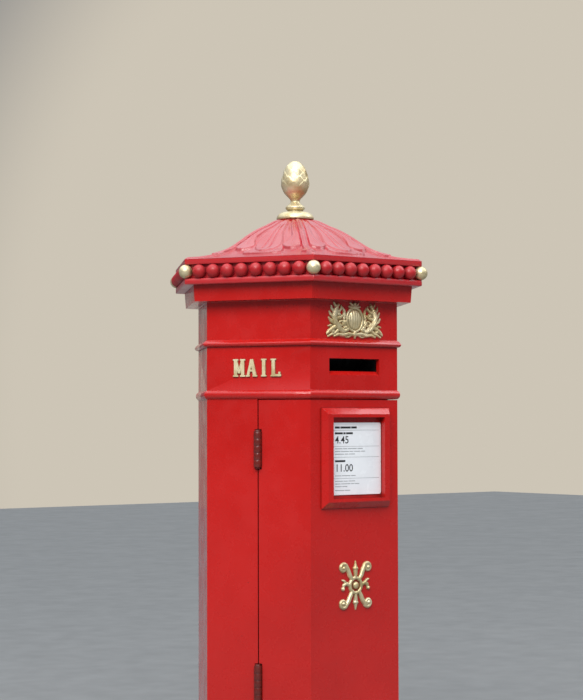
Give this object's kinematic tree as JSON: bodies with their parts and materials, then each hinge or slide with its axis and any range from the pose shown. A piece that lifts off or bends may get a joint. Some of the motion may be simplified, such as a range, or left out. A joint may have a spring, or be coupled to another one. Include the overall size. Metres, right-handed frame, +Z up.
{
  "type": "post box",
  "caption": "Hexagonal cast-iron pillar post box with a domed roof, bud finial, posting slot, notice frame and a lockable hinged door.",
  "frame": {"origin": "centre of the base, on the ground", "axes": "+Z up; the posting slot, notice frame and crest look along -Y"},
  "size_m": [0.7579, 0.6614, 1.6781],
  "materials": {
    "red_paint": "gloss red enamel on cast iron",
    "gold_paint": "satin gold leaf paint",
    "black_paint": "gloss black enamel on cast iron",
    "steel_fastener": "dull zinc-plated steel",
    "galvanised_sheet": "galvanised steel",
    "lock_japan": "black japanned steel",
    "brass": "worn brass",
    "white_enamel": "gloss white vitreous enamel"
  },
  "bodies": {
    "box": {"base_bolts": "steel_fastener", "base_nuts": "steel_fastener", "bolt_keep": "steel_fastener", "cap_bolts": "steel_fastener", "cap_nuts": "steel_fastener", "chute_screws": "steel_fastener", "corner_balls": "gold_paint", "crest_badge": "gold_paint", "finial_bud": "gold_paint", "finial_nut": "steel_fastener", "finial_stud": "steel_fastener", "finial_washer": "steel_fastener", "guard_bracket_screws": "steel_fastener", "guard_brackets": "steel_fastener", "head_casting": "red_paint", "hinge_screws_fixed": "steel_fastener", "joint_bolts": "steel_fastener", "joint_nuts": "steel_fastener", "keep_screws": "steel_fastener", "letter_chute": "galvanised_sheet", "letter_guard": "galvanised_sheet", "letters_left": "gold_paint", "letters_right": "gold_paint", "lower_hinge_fixed_leaf": "red_paint", "lower_hinge_pin": "red_paint", "mail_floor": "galvanised_sheet", "plinth_base": "black_paint", "rim_beads": "red_paint", "roof_cap": "red_paint", "shaft_casting": "red_paint", "upper_hinge_fixed_leaf": "red_paint", "upper_hinge_pin": "red_paint"},
    "door": {"door_panel": "red_paint", "lower_hinge_door_leaf": "red_paint", "upper_hinge_door_leaf": "red_paint", "hinge_screws_door": "steel_fastener", "lock_case": "lock_japan", "lock_case_screws": "steel_fastener", "keyhole_escutcheon": "red_paint", "escutcheon_screws": "steel_fastener", "cover_rivet": "red_paint", "notice_frame": "red_paint", "notice_backing": "red_paint", "notice_plate": "white_enamel", "notice_screws": "steel_fastener", "scroll_badge": "gold_paint"},
    "curtain": {"lock_curtain": "brass"},
    "bolt": {"lock_bolt": "brass"},
    "cover": {"keyhole_cover": "red_paint"},
    "latch": {"guard_latch": "steel_fastener"}
  },
  "joints": [
    {"name": "door_swing", "type": "hinge", "parent": "box", "child": "door", "pos_m": [-0.22343, -0.129, 0.6], "axis": [0, 0, -1], "range_deg": [0, 120]},
    {"name": "lock_turn", "type": "hinge", "parent": "door", "child": "curtain", "pos_m": [0.19477, -0.15864, 0.675], "axis": [-0.866, 0.5, 0], "range_deg": [0, 90]},
    {"name": "bolt_slide", "type": "slide", "parent": "door", "child": "bolt", "axis": [0.5, 0.866, 0], "range_m": [0, 0.014]},
    {"name": "cover_swing", "type": "hinge", "parent": "door", "child": "cover", "pos_m": [0.21123, -0.16814, 0.695], "axis": [0.866, -0.5, 0], "range_deg": [-110, 110]},
    {"name": "guard_latch_turn", "type": "hinge", "parent": "box", "child": "latch", "pos_m": [0.16886, -0.12752, 0.582], "axis": [0.866, -0.5, 0], "range_deg": [0, 90]}
  ],
  "couplings": [
    {"joint": "lock_turn", "follows": "bolt_slide", "rad_per_m": 112.2}
  ]
}
